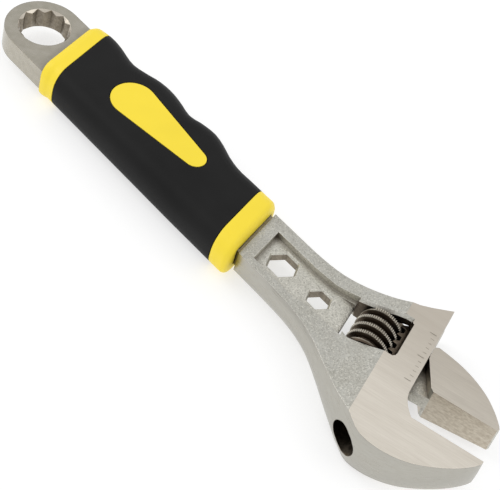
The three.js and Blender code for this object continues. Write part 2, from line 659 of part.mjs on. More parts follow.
// ---------------------------------------------------------------- assembly
const tool = new THREE.Group();
addPiece(tool, 'wrench_body', wrenchBody(), NICKEL);
addPiece(tool, 'movable_jaw', movableJaw(), JAW_STEEL);
addPiece(tool, 'worm_knurl', wormKnurl(), WORM_STEEL);
addPiece(tool, 'worm_pin', wormPin(), PIN_STEEL);
addPiece(tool, 'worm_spring', wormSpring(), SPRING_STEEL);
addPiece(tool, 'grip_core', gripCore(), YELLOW);
addPiece(tool, 'grip_cover', gripCover(), BLACK);

// Stand the tool on Z = 0 with its middle over the origin.
const box = new THREE.Box3().setFromObject(tool);
const middle = box.getCenter(new THREE.Vector3());
tool.position.set(-middle.x, -middle.y, -box.min.z);
const wrench = new THREE.Group();
wrench.add(tool);

export default wrench;
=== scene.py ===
"""Adjustable wrench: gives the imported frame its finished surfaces, worm serrations, light and camera."""
import json
import math

import bmesh
import bpy
from bpy.props import FloatProperty, FloatVectorProperty, IntProperty, PointerProperty
from mathutils import Matrix, Vector


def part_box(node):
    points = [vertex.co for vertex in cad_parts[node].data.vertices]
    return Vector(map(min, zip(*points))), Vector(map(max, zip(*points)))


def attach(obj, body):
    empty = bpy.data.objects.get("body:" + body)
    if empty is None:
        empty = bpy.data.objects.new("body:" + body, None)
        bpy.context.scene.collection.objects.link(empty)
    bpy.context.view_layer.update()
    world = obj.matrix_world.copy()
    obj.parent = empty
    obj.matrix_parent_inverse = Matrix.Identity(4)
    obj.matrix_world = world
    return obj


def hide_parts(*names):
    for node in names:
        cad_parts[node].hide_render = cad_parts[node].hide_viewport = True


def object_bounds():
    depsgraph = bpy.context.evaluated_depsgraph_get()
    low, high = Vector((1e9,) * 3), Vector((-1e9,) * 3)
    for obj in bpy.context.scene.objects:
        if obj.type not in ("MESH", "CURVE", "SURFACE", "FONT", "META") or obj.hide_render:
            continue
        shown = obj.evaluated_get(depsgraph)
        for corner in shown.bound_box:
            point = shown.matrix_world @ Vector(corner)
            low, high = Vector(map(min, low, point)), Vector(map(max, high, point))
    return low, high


bl_info = {
    "name": "Adjustable Wrench",
    "version": (1, 0, 0),
    "blender": (4, 5, 0),
    "location": "3D View > Sidebar > Wrench",
    "description": "Finishes an adjustable wrench on its packed frame",
    "category": "Object",
}

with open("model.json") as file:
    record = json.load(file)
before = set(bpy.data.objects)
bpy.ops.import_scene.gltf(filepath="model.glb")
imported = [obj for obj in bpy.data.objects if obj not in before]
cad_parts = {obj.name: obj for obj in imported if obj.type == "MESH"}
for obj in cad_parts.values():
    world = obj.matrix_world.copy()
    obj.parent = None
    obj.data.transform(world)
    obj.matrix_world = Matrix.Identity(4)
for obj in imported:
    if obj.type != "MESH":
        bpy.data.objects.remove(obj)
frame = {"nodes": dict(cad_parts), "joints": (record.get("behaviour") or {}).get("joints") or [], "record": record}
CAD_LOW, CAD_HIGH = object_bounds()
MM = 0.001

# ---------------------------------------------------------------- places read from the frame
MOUNTS = {mount["name"]: mount for mount in frame["record"]["mounts"]}
WORM_JOINT = next(joint for joint in frame["joints"] if joint["name"] == "worm_turn")
SLIDE = Vector(WORM_JOINT["axis"])  # the way the movable jaw opens
UP = Vector((0, 0, 1))
REACH = SLIDE.cross(UP)  # along the jaws, out of the throat
HEAD_TURN = math.atan2(-SLIDE.x, SLIDE.y)
MID_HEIGHT = WORM_JOINT["pos_m"][2]
RING_TO_END = 15.8 * MM  # from the middle of the 12-point hole to the end of the tool
RING_SIDE = MOUNTS["ring_face"]["pos_m"][1]
RING_CENTRE = Vector((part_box("wrench_body")[0].x + RING_TO_END, RING_SIDE, MID_HEIGHT))
RING_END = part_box("grip_core")[0].x + 30 * MM  # the ring and its bar end inside the grip, before this
ROD_REACH = 190.2 * MM  # the axis of the jaw's rod and of its bore
ROD_RADIUS = 5.45 * MM  # half way between the rod's and the bore's
HEAD_DROP = 3.5 * MM  # how much lower the ground face is at the jaw's tip than where it starts
HEAD_LENGTH = 49.5 * MM
SCALE_REACH = 201.2 * MM  # the jaw scale's line, and where it starts along the jaw's travel
SCALE_START = -74.5 * MM
CAMERA_FROM_RING = Vector((0.34801, -0.3339, 0.4396))
GROUND_REACH = 187.5 * MM  # where the ground faces of the head start, from the ring centre
WORM_CENTRE = Vector(WORM_JOINT["pos_m"])
WORM_SLIDE = (WORM_CENTRE - RING_CENTRE).dot(SLIDE)
WORM_PITCH = 4.2 * MM
WINDOW_LOW = 169.0 * MM  # the worm's window, along the jaws from the ring centre
WINDOW_HIGH = 193.0 * MM
WINDOW_HALF = 11.2 * MM
PANEL_START = RING_CENTRE.x + 134 * MM
PANEL_SIDE = 0.6 * MM
RIM_HALF = 4.7 * MM  # faces nearer the middle than this are sunk below the shank's rims
RING_HOLE = 12 * MM  # a radius that takes in the 12-point hole and its mouth
HEX_HOLES = (  # centre from the ring centre, and a radius that takes in the hole
    ((146.3 * MM, 0.8 * MM), 7 * MM),
    ((166.2 * MM, 1.0 * MM), 5.6 * MM),
)
FIXED_FACE_REACH = 205 * MM  # the two gripping faces lie beyond these places
FIXED_FACE_SLIDE = -80 * MM
MOVABLE_FACE_REACH = 203 * MM
MOVABLE_FACE_SLIDE = -70 * MM
BORE_FIT = 0.8 * MM  # how far from the rod's radius a wall is still the bore's
ROD_FIT = 0.1 * MM
WEB_HALF = 3.2 * MM  # half the thickness of the jaw's web
FLAT = 0.95  # the least upward part of a flat face's normal
FACING = 0.9  # the least part of a normal along the way it faces
ACROSS = 0.3  # the most that a normal leans out of the plane across an axis
STEEP = 0.6  # the least upward part of a normal on an upper or lower side

PLATE_CORNER_SHADE = "#4f4436"  # colours of the painted shade in corners and holes: on plate, on bare steel, and the darkest for the worm and plain steel
STEEL_CORNER_SHADE = "#5a4d3f"
DEEP_CORNER_SHADE = "#2a221b"
WORM_CREST = (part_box("worm_knurl")[1].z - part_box("worm_knurl")[0].z) / 2  # radius over the thread


# ---------------------------------------------------------------- colour and nodes
def linear(hex_colour, alpha=1.0):
    """An sRGB hex colour as the linear values that Blender's sockets hold."""
    channels = [int(hex_colour[i:i + 2], 16) / 255 for i in (1, 3, 5)]
    return [c / 12.92 if c <= 0.04045 else ((c + 0.055) / 1.055) ** 2.4 for c in channels] + [alpha]


def add(tree, kind, inputs=None, **settings):
    """Adds a node. A socket given as an input is linked, anything else becomes the input's value."""
    node = tree.nodes.new(kind)
    for name, value in settings.items():
        setattr(node, name, value)
    for key, value in (inputs or {}).items():
        if isinstance(value, bpy.types.NodeSocket):
            tree.links.new(value, node.inputs[key])
        else:
            node.inputs[key].default_value = value
    return node


def new_material(name):
    """An empty material with a principled shader: returns the material, its tree and the shader."""
    material = bpy.data.materials.new(name)
    material.use_nodes = True
    tree = material.node_tree
    tree.nodes.clear()
    shader = add(tree, "ShaderNodeBsdfPrincipled")
    add(tree, "ShaderNodeOutputMaterial", {"Surface": shader.outputs[0]})
    return material, tree, shader


def head_coordinates(tree):
    """Millimetres along the jaws, along the jaw's travel, and up, measured from the ring centre."""
    place = add(tree, "ShaderNodeTexCoord").outputs["Object"]
    turn = Matrix.Rotation(-HEAD_TURN, 3, "Z")
    centre = turn @ (-RING_CENTRE / MM)
    mapping = add(tree, "ShaderNodeMapping", {
        "Vector": place, "Location": centre, "Rotation": (0, 0, -HEAD_TURN), "Scale": (1 / MM,) * 3,
    })
    return mapping.outputs[0]


def stretched(tree, vector, scale):
    """The same coordinates with each axis multiplied by its own number."""
    return add(tree, "ShaderNodeVectorMath", {0: vector, 1: scale}, operation="MULTIPLY").outputs[0]


def between(tree, value, low, high, out_low=0.0, out_high=1.0):
    """Maps a value from one range to another, held at the ends."""
    return add(tree, "ShaderNodeMapRange", {
        "Value": value, "From Min": low, "From Max": high, "To Min": out_low, "To Max": out_high,
    }).outputs[0]


# ---------------------------------------------------------------- materials
def painted_corner_shade(tree, colour, shade_colour, distance, power=1.0):
    """Painted shade: darkens a colour in corners and holes, by ambient occlusion."""
    open_sky = add(tree, "ShaderNodeAmbientOcclusion", {"Distance": distance}, samples=8)
    strength = add(tree, "ShaderNodeMath", {0: open_sky.outputs["AO"], 1: power}, operation="POWER")
    return blend(tree, strength.outputs[0], linear(shade_colour), colour)


def blend(tree, factor, first, second):
    """A mix of two colours, each given as a value or a socket."""
    node = add(tree, "ShaderNodeMix", data_type="RGBA")
    for name, value in (("Factor", factor), ("A", first), ("B", second)):
        socket = next(s for s in node.inputs if s.name == name and s.enabled)
        if isinstance(value, bpy.types.NodeSocket):
            tree.links.new(value, socket)
        else:
            socket.default_value = value
    return next(s for s in node.outputs if s.enabled)


def edge_wear_and_painted_light(tree, colour, tint, width_mm, amount):
    """Tints a colour along convex edges: a light tint is edge wear with a painted highlight, a dark tint is a
    painted dark reflection.
    """
    edge = add(tree, "ShaderNodeBevel", {"Radius": width_mm * MM}, samples=6)
    flat = add(tree, "ShaderNodeNewGeometry").outputs["Normal"]
    same = add(tree, "ShaderNodeVectorMath", {0: edge.outputs[0], 1: flat}, operation="DOT_PRODUCT")
    near_edge = between(tree, same.outputs["Value"], 0.99, 0.9, 0.0, amount)
    return blend(tree, near_edge, colour, linear(tint))


def relief(tree, shader, height, strength, depth_mm, edge_mm):
    """Soft edges of a real radius, with the fine height pattern on top."""
    edge = add(tree, "ShaderNodeBevel", {"Radius": edge_mm * MM}, samples=6)
    bump = add(tree, "ShaderNodeBump", {
        "Height": height, "Strength": strength, "Distance": depth_mm * MM, "Normal": edge.outputs[0],
    })
    tree.links.new(bump.outputs[0], shader.inputs["Normal"])


def metal(shader, tree, colour, roughness):
    """Sets a fully metallic shader's colour and roughness sockets."""
    tree.links.new(colour, shader.inputs["Base Color"])
    tree.links.new(roughness, shader.inputs["Roughness"])
    shader.inputs["Metallic"].default_value = 1.0


def forged_nickel(name, light, dark, sparkle):
    """Satin nickel plate over a shot-blasted drop forging: a sandy skin, with soft glints painted into its colour.

    Real blasting grit leaves pits of about 0.3 mm, drawn here at 0.8 mm so that they show.
    """
    material, tree, shader = new_material(name)
    place = head_coordinates(tree)
    grain = add(tree, "ShaderNodeTexNoise", {"Vector": place, "Scale": 1.1, "Detail": 3.0, "Roughness": 0.65})
    glitter = add(tree, "ShaderNodeTexVoronoi", {"Vector": place, "Scale": 2.4}, feature="F1")
    drift = add(tree, "ShaderNodeTexNoise", {"Vector": place, "Scale": 0.1, "Detail": 2.0})
    smooth = blend(tree, between(tree, drift.outputs[0], 0.35, 0.65), linear(dark), linear(light))
    # Painted glints: facets of the grain painted towards the sparkle colour.
    facet = between(tree, glitter.outputs["Color"], 0.1, 0.9)
    glints = blend(tree, facet, linear("#9f9c92"), linear(sparkle))
    speck = between(tree, grain.outputs[0], 0.38, 0.62, 0.1, 0.8)
    # Light edges: edge wear and a painted highlight.
    skin = edge_wear_and_painted_light(tree, blend(tree, speck, smooth, glints), "#fbf8f0", 0.4, 0.45)
    # Painted shade in corners and holes.
    colour = painted_corner_shade(tree, skin, STEEL_CORNER_SHADE, 3.0 * MM, 1.3)
    metal(shader, tree, colour, between(tree, grain.outputs[0], 0.3, 0.7, 0.3, 0.44))
    relief(tree, shader, grain.outputs[0], 0.8, 0.25, 0.3)
    return material


def satin_nickel():
    """Satin nickel plate over linished sides: a clean, even sheen with faint long waves."""
    material, tree, shader = new_material("satin_nickel")
    place = head_coordinates(tree)
    wave = add(tree, "ShaderNodeTexNoise", {
        "Vector": stretched(tree, place, (0.05, 0.05, 0.4)), "Detail": 3.0,
    })
    base = blend(tree, between(tree, wave.outputs[0], 0.3, 0.7), linear("#b0ada4"), linear("#b8b6ae"))
    # Dark edges: a painted dark reflection line, then painted shade in corners.
    colour = painted_corner_shade(tree, edge_wear_and_painted_light(tree, base, "#6f665a", 0.3, 0.6), PLATE_CORNER_SHADE, 3.0 * MM)
    metal(shader, tree, colour, between(tree, wave.outputs[0], 0.3, 0.7, 0.26, 0.36))
    relief(tree, shader, wave.outputs[0], 0.2, 0.05, 0.3)
    return material


def polished_nickel():
    """Bright nickel plate on ground steel: smooth, with only the faintest orange peel."""
    material, tree, shader = new_material("polished_nickel")
    place = head_coordinates(tree)
    peel = add(tree, "ShaderNodeTexNoise", {"Vector": place, "Scale": 0.35, "Detail": 2.0})
    base = blend(tree, between(tree, peel.outputs[0], 0.3, 0.7), linear("#b1ac9f"), linear("#bbb6aa"))
    # Dark edges: a painted dark reflection line, then painted shade in corners.
    colour = painted_corner_shade(tree, edge_wear_and_painted_light(tree, base, "#5a5044", 0.3, 0.75), PLATE_CORNER_SHADE, 5.0 * MM, 1.2)
    metal(shader, tree, colour, between(tree, peel.outputs[0], 0.3, 0.7, 0.22, 0.3))
    relief(tree, shader, peel.outputs[0], 0.2, 0.1, 0.3)
    return material


def ground_nickel(name, light, dark):
    """Surface-ground steel under thin nickel: long straight grinding lines that run along the jaws.

    It is painted duller towards the far end of the jaw's travel: a painted reflection gradient.

    The wheel's scratches are about 0.05 mm apart, drawn here at 0.3 to 0.8 mm so that they show.
    """
    material, tree, shader = new_material(name)
    place = head_coordinates(tree)
    fine = add(tree, "ShaderNodeTexNoise", {
        "Vector": stretched(tree, place, (0.035, 3.0, 1.0)), "Scale": 1.0, "Detail": 5.0, "Roughness": 0.75,
    })
    broad = add(tree, "ShaderNodeTexNoise", {
        "Vector": stretched(tree, place, (0.02, 0.25, 0.1)), "Scale": 1.0, "Detail": 2.0,
    })
    lines = add(tree, "ShaderNodeMath", {
        0: broad.outputs[0], 1: 0.4, 2: fine.outputs[0],
    }, operation="MULTIPLY_ADD")
    tone = blend(tree, between(tree, lines.outputs[0], 0.5, 0.9), linear(dark), linear(light))
    travel = add(tree, "ShaderNodeSeparateXYZ", {0: place}).outputs[1]
    # Painted reflection: the ground faces turn duller towards the far end of the jaw's travel.
    reflection_fade = blend(tree, between(tree, travel, -85.0, -50.0, 0.0, 0.5), tone, linear("#b5ab9d"))
    # Painted shade in corners and holes.
    colour = painted_corner_shade(tree, reflection_fade, STEEL_CORNER_SHADE, 2.0 * MM)
    metal(shader, tree, colour, between(tree, fine.outputs[0], 0.3, 0.7, 0.3, 0.42))
    relief(tree, shader, fine.outputs[0], 0.3, 0.05, 0.25)
    shader.inputs["Anisotropic"].default_value = 0.4
    return material


def milled_steel():
    """The jaws' gripping faces: end-milled and lightly stained, so a fine cloudy grain shows."""
    material, tree, shader = new_material("milled_steel")
    place = head_coordinates(tree)
    cut = add(tree, "ShaderNodeTexNoise", {
        "Vector": stretched(tree, place, (0.7, 0.9, 1.2)), "Scale": 1.0, "Detail": 5.0, "Roughness": 0.7,
    })
    cloud = add(tree, "ShaderNodeTexNoise", {
        "Vector": stretched(tree, place, (0.12, 0.1, 0.3)), "Detail": 2.0,
    })
    mixed = add(tree, "ShaderNodeMath", {0: cut.outputs[0], 1: cloud.outputs[0]}, operation="ADD")
    tone = blend(tree, between(tree, mixed.outputs[0], 0.8, 1.2), linear("#b5ab9b"), linear("#cfc7b8"))
    # Painted shade in corners and holes.
    colour = painted_corner_shade(tree, tone, STEEL_CORNER_SHADE, 2.0 * MM)
    metal(shader, tree, colour, between(tree, cut.outputs[0], 0.3, 0.7, 0.32, 0.46))
    relief(tree, shader, cut.outputs[0], 0.3, 0.08, 0.25)
    return material


def dark_steel_and_wall_shade(name, light, dark):
    """Dark brown steel with a soft gloss: the rack's own colour, and painted shade on the walls of the bore, the
    worm's window and the pressed holes.
    """
    material, tree, shader = new_material(name)
    place = head_coordinates(tree)
    mottle = add(tree, "ShaderNodeTexNoise", {
        "Vector": place, "Scale": 0.9, "Detail": 4.0, "Roughness": 0.65,
    })
    tone = blend(tree, between(tree, mottle.outputs[0], 0.35, 0.7), linear(dark), linear(light))
    # Light edges: edge wear and a painted highlight.
    tone = edge_wear_and_painted_light(tree, tone, "#b8ac9b", 0.3, 0.5)
    # Painted shade in corners and holes.
    colour = painted_corner_shade(tree, tone, "#1d1813", 4.0 * MM, 1.2)
    metal(shader, tree, colour, between(tree, mottle.outputs[0], 0.3, 0.7, 0.3, 0.42))
    relief(tree, shader, mottle.outputs[0], 0.4, 0.1, 0.2)
    return material


def worm_steel():
    """Oil-blackened steel: dark in the roots of the thread, deepened there by painted shade, and worn bright on
    the serrated crests.
    """
    material, tree, shader = new_material("worm_steel")
    place = add(tree, "ShaderNodeTexCoord").outputs["Object"]
    centred = add(tree, "ShaderNodeVectorMath", {0: place, 1: WORM_CENTRE}, operation="SUBTRACT").outputs[0]
    along = add(tree, "ShaderNodeVectorMath", {0: centred, 1: SLIDE}, operation="DOT_PRODUCT")
    on_axis = add(tree, "ShaderNodeVectorMath", {
        0: SLIDE, "Scale": along.outputs["Value"],
    }, operation="SCALE")
    radius = add(tree, "ShaderNodeVectorMath", {0: centred, 1: on_axis.outputs[0]}, operation="DISTANCE")
    smear = add(tree, "ShaderNodeTexNoise", {"Vector": place, "Scale": 900.0, "Detail": 3.0})
    worn = add(tree, "ShaderNodeMath", {
        0: between(tree, radius.outputs["Value"], WORM_CREST - 0.75 * MM, WORM_CREST - 0.1 * MM),
        1: between(tree, smear.outputs[0], 0.3, 0.6, 0.6, 1.0),
    }, operation="MULTIPLY").outputs[0]
    tone = blend(tree, worn, linear("#64584c"), linear("#e6dfd0"))
    # Painted shade in the roots of the thread and other hollows.
    colour = painted_corner_shade(tree, tone, DEEP_CORNER_SHADE, 2.5 * MM, 1.2)
    metal(shader, tree, colour, between(tree, worn, 0.0, 1.0, 0.36, 0.26))
    relief(tree, shader, smear.outputs[0], 0.3, 0.05, 0.1)
    return material


def plain_steel(name, colour, roughness):
    """Turned or drawn steel, or a filled line: even, with a slight mottle."""
    material, tree, shader = new_material(name)
    place = head_coordinates(tree)
    mottle = add(tree, "ShaderNodeTexNoise", {"Vector": place, "Scale": 0.7, "Detail": 2.0})
    # Painted shade in corners and holes.
    tone = painted_corner_shade(tree, linear(colour), DEEP_CORNER_SHADE, 3.0 * MM)
    metal(shader, tree, tone, between(tree, mottle.outputs[0], 0.3, 0.7, roughness - 0.05, roughness + 0.08))
    return material


def moulded_polymer(name, colour, shade, roughness, grain_mm, depth, gloss):
    """Injection-moulded polymer with the fine spark-eroded grain of its mould.

    The real grain is near 0.1 mm, drawn coarser so that it just breaks up the highlights.
    """
    material, tree, shader = new_material(name)
    place = head_coordinates(tree)
    grain = add(tree, "ShaderNodeTexNoise", {
        "Vector": place, "Scale": 1 / grain_mm, "Detail": 2.0, "Roughness": 0.5,
    })
    cloud = add(tree, "ShaderNodeTexNoise", {"Vector": place, "Scale": 0.05, "Detail": 2.0})
    tone = blend(tree, between(tree, cloud.outputs[0], 0.35, 0.65), (*shade, 1.0), (*colour, 1.0))
    # Painted shade in the creases and corners of the moulding.
    tree.links.new(painted_corner_shade(tree, tone, "#2a2410", 0.8 * MM, 0.6), shader.inputs["Base Color"])
    rough = between(tree, grain.outputs[0], 0.3, 0.7, roughness - 0.05, roughness + 0.07)
    tree.links.new(rough, shader.inputs["Roughness"])
    relief(tree, shader, grain.outputs[0], depth, 0.05, 0.45)
    shader.inputs["Specular IOR Level"].default_value = gloss
    return material


# ---------------------------------------------------------------- meshes
def finished_copy(node, name, sharp_degrees=28):
    """A CAD node's shape as one joined mesh, smooth except across its real edges."""
    source = frame["nodes"][node].data
    shape = bmesh.new()
    shape.from_mesh(source)
    bmesh.ops.remove_doubles(shape, verts=shape.verts, dist=0.002 * MM)
    bmesh.ops.dissolve_limit(shape, angle_limit=math.radians(0.4), verts=shape.verts, edges=shape.edges)
    for face in shape.faces:
        face.smooth = True
    for edge in shape.edges:
        edge.smooth = not edge.is_manifold or edge.calc_face_angle(0.0) < math.radians(sharp_degrees)
    mesh = bpy.data.meshes.new(name)
    shape.to_mesh(mesh)
    shape.free()
    piece = bpy.data.objects.new(name, mesh)
    bpy.context.scene.collection.objects.link(piece)
    return piece


def paint(piece, finishes, choose):
    """Gives each face the finish whose name choose(centre, normal) returns."""
    order = list(finishes)
    piece.data.materials.clear()
    for material in finishes.values():
        piece.data.materials.append(material)
    for polygon in piece.data.polygons:
        polygon.material_index = order.index(choose(polygon.center, polygon.normal))


def from_ring(point):
    """How far along the jaws, and along the jaw's travel, a point lies from the ring centre."""
    offset = point - RING_CENTRE
    return offset.dot(REACH), offset.dot(SLIDE)


def on_face(place, normal, reach, slide):
    """Whether a steep face is still part of the flat faces or of a rolled edge, and not a rounded side."""
    return abs(normal.z) > FLAT or faces_inward(place, normal, reach, slide)


def in_window(reach, slide):
    """Whether a place lies in the worm's window."""
    return WINDOW_LOW < reach < WINDOW_HIGH and abs(slide - WORM_SLIDE) < WINDOW_HALF


def in_hex_hole(place):
    """Whether a wall lies in one of the two hexagonal holes."""
    offset = place - RING_CENTRE
    return any((offset.xy - Vector(centre)).length < radius for centre, radius in HEX_HOLES)


def faces_inward(place, normal, reach, slide):
    """Whether a wall belongs to the sunk panel, its hex holes or the worm window."""
    if WINDOW_LOW < reach < WINDOW_HIGH:
        return in_window(reach, slide)
    middle = RING_CENTRE.y + PANEL_SIDE
    inward = (place.y - middle) * normal.y < 0 or abs(normal.y) < ACROSS
    return place.x > PANEL_START and reach < WINDOW_LOW and inward


def from_rod(place, reach):
    """How far a place is from the axis of the jaw's rod."""
    return math.hypot(reach - ROD_REACH, place.z - MID_HEIGHT)


def ring_finish(place, normal):
    """The finish of a face of the ring end: polished, with bright chamfers, and painted shade on the walls in its
    hole.
    """
    if (place - RING_CENTRE).xy.length > RING_HOLE or abs(normal.z) > FLAT:
        return "polished"
    return "pressed" if abs(normal.z) < ACROSS else "ground"


def body_finish(place, normal):
    """The finish of a face of the wrench's body, from where it lies and which way it faces."""
    reach, slide = from_ring(place)
    if normal.dot(SLIDE) > FACING and reach > FIXED_FACE_REACH and slide < FIXED_FACE_SLIDE:
        return "milled"
    round_rod = abs(from_rod(place, reach) - ROD_RADIUS) < BORE_FIT
    if round_rod and abs(normal.dot(SLIDE)) < ACROSS and place.x > 0:
        return "bored"
    if abs(normal.z) > FACING and reach > GROUND_REACH:
        return "ground"
    if place.x < RING_END:
        return ring_finish(place, normal)
    if abs(normal.z) > STEEP and on_face(place, normal, reach, slide):
        return "sunk" if abs(place.z - MID_HEIGHT) < RIM_HALF else "forged"
    if in_window(reach, slide):
        return "bored"
    if in_hex_hole(place):
        return "pressed"
    return "sunk" if faces_inward(place, normal, reach, slide) else "satin"


def jaw_finish(place, normal):
    """The finish of a face of the movable jaw."""
    reach, slide = from_ring(place)
    if normal.dot(SLIDE) < -FACING and slide < MOVABLE_FACE_SLIDE and reach > MOVABLE_FACE_REACH:
        return "milled"
    if from_rod(place, reach) < ROD_RADIUS + ROD_FIT:
        return "rack"
    return "forged" if abs(place.z - MID_HEIGHT) < WEB_HALF else "ground"


def settle(piece, node, body):
    """Puts the finished piece in its CAD node's stead, riding on its body."""
    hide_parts(node)
    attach(piece, body)


# ---------------------------------------------------------------- repeated detail
def node_group(name, sizes):
    """A Geometry Nodes tree that takes a mesh, named sizes and a finish, with its input's sockets."""
    tree = bpy.data.node_groups.new(name, "GeometryNodeTree")
    tree.interface.new_socket("Geometry", in_out="OUTPUT", socket_type="NodeSocketGeometry")
    tree.interface.new_socket("Geometry", in_out="INPUT", socket_type="NodeSocketGeometry")
    for label, kind in sizes.items():
        tree.interface.new_socket(label, in_out="INPUT", socket_type=kind)
    tree.interface.new_socket("Finish", in_out="INPUT", socket_type="NodeSocketMaterial")
    entry = add(tree, "NodeGroupInput")
    return tree, entry.outputs


def calculate(tree, operation, *values):
    """One step of arithmetic."""
    return add(tree, "ShaderNodeMath", dict(enumerate(values)), operation=operation).outputs[0]


def close_group(tree, entry, instances):
    """Makes the instances real, joins them to the mesh that came in, and gives all of it the finish."""
    real = add(tree, "GeometryNodeRealizeInstances", {0: instances})
    joined = add(tree, "GeometryNodeJoinGeometry")
    tree.links.new(entry["Geometry"], joined.inputs[0])
    tree.links.new(real.outputs[0], joined.inputs[0])
    solid = add(tree, "GeometryNodeRealizeInstances", {0: joined.outputs[0]})
    painted = add(tree, "GeometryNodeSetMaterial", {
        "Geometry": solid.outputs[0], "Material": entry["Finish"],
    })
    add(tree, "NodeGroupOutput", {0: painted.outputs[0]})


def in_head_frame(tree, instances, origin):
    """Turns a drawing in (along the jaws, along the travel, up) into the tool's own frame."""
    return add(tree, "GeometryNodeTransform", {
        "Geometry": instances, "Translation": origin, "Rotation": (0, 0, HEAD_TURN),
    }).outputs[0]


def crest_teeth():
    """Geometry Nodes: small ridges square across the worm's thread, all along its crest."""
    tree, entry = node_group("worm_crest_teeth", {
        "Pitch": "NodeSocketFloat", "Crest Radius": "NodeSocketFloat", "Teeth Per Turn": "NodeSocketInt",
        "Tooth Depth": "NodeSocketFloat", "Tooth Length": "NodeSocketFloat", "Half Travel": "NodeSocketFloat",
    })
    step = calculate(tree, "DIVIDE", entry["Pitch"], entry["Teeth Per Turn"])
    span = calculate(tree, "MULTIPLY", entry["Half Travel"], 2.0)
    count = calculate(tree, "DIVIDE", span, step)
    index = add(tree, "GeometryNodeInputIndex").outputs[0]
    along = calculate(tree, "SUBTRACT", calculate(tree, "MULTIPLY", index, step), entry["Half Travel"])
    turns = calculate(tree, "ADD", calculate(tree, "DIVIDE", along, entry["Pitch"]), 0.5)
    angle = calculate(tree, "MULTIPLY", turns, 2 * math.pi)
    radius = calculate(tree, "SUBTRACT", entry["Crest Radius"], entry["Tooth Depth"])
    out = calculate(tree, "MULTIPLY", radius, calculate(tree, "COSINE", angle))
    rise = calculate(tree, "MULTIPLY", radius, calculate(tree, "SINE", angle))
    place = add(tree, "ShaderNodeCombineXYZ", {0: out, 1: along, 2: rise}).outputs[0]
    points = add(tree, "GeometryNodePoints", {"Count": count, "Position": place}).outputs[0]
    side = calculate(tree, "MULTIPLY", entry["Tooth Depth"], math.sqrt(2))
    size = add(tree, "ShaderNodeCombineXYZ", {0: side, 1: entry["Tooth Length"], 2: side}).outputs[0]
    ridge = add(tree, "GeometryNodeMeshCube", {"Size": size}).outputs[0]
    on_edge = (0, math.radians(45), 0)
    diamond = add(tree, "GeometryNodeTransform", {"Geometry": ridge, "Rotation": on_edge}).outputs[0]
    facing = add(tree, "ShaderNodeCombineXYZ", {1: calculate(tree, "MULTIPLY", angle, -1.0)}).outputs[0]
    teeth = add(tree, "GeometryNodeInstanceOnPoints", {"Points": points, "Instance": diamond})
    turned = add(tree, "GeometryNodeRotateInstances", {
        "Instances": teeth.outputs[0], "Rotation": facing, "Local Space": True,
    }).outputs[0]
    close_group(tree, entry, in_head_frame(tree, turned, WORM_CENTRE))
    return tree


def scale_marks():
    """Geometry Nodes: a row of short graduations along the jaw's travel, every fifth one longer."""
    tree, entry = node_group("scale_marks", {
        "Spacing": "NodeSocketFloat", "Marks": "NodeSocketInt", "Short Mark": "NodeSocketFloat",
        "Long Mark": "NodeSocketFloat", "Line Width": "NodeSocketFloat", "Start": "NodeSocketVector",
        "Slope": "NodeSocketFloat",
    })
    index = add(tree, "GeometryNodeInputIndex").outputs[0]
    is_long = calculate(tree, "LESS_THAN", calculate(tree, "MODULO", index, 5.0), 0.5)
    extra = calculate(tree, "SUBTRACT", entry["Long Mark"], entry["Short Mark"])
    length = calculate(tree, "ADD", entry["Short Mark"], calculate(tree, "MULTIPLY", extra, is_long))
    across = calculate(tree, "MULTIPLY", length, -0.5)
    drop = calculate(tree, "MULTIPLY", across, calculate(tree, "TANGENT", entry["Slope"]))
    along = calculate(tree, "MULTIPLY", index, entry["Spacing"])
    rise = calculate(tree, "MULTIPLY", drop, -1.0)
    place = add(tree, "ShaderNodeCombineXYZ", {0: across, 1: along, 2: rise}).outputs[0]
    points = add(tree, "GeometryNodePoints", {"Count": entry["Marks"], "Position": place}).outputs[0]
    bar = add(tree, "GeometryNodeMeshCube", {"Size": (1, 1, 0.06 * MM)}).outputs[0]
    tilt = add(tree, "ShaderNodeCombineXYZ", {1: entry["Slope"]}).outputs[0]
    size = add(tree, "ShaderNodeCombineXYZ", {0: length, 1: entry["Line Width"], 2: 1.0}).outputs[0]
    marks = add(tree, "GeometryNodeInstanceOnPoints", {"Points": points, "Instance": bar, "Scale": size})
    turned = add(tree, "GeometryNodeRotateInstances", {
        "Instances": marks.outputs[0], "Rotation": tilt, "Local Space": False,
    }).outputs[0]
    close_group(tree, entry, in_head_frame(tree, turned, entry["Start"]))
    return tree


def grow(piece, tree, sizes):
    """Runs a node group on a piece with the named sizes, and keeps the result as a plain mesh."""
    modifier = piece.modifiers.new(tree.name, "NODES")
    modifier.node_group = tree
    entries = [item for item in tree.interface.items_tree if item.in_out == "INPUT"]
    identifiers = {item.name: item.identifier for item in entries}
    for label, value in sizes.items():
        modifier[identifiers[label]] = value
    piece.update_tag()
    ready = piece.evaluated_get(bpy.context.evaluated_depsgraph_get())
    mesh = bpy.data.meshes.new_from_object(ready)
    piece.modifiers.remove(modifier)
    piece.data = mesh


def worn_crests(piece, radius):
    """Turns the thread's crest down to a radius, to leave room for the teeth."""
    for vertex in piece.data.vertices:
        offset = vertex.co - WORM_CENTRE
        along = SLIDE * offset.dot(SLIDE)
        out = offset - along
        if out.length > radius:
            vertex.co = WORM_CENTRE + along + out.normalized() * radius


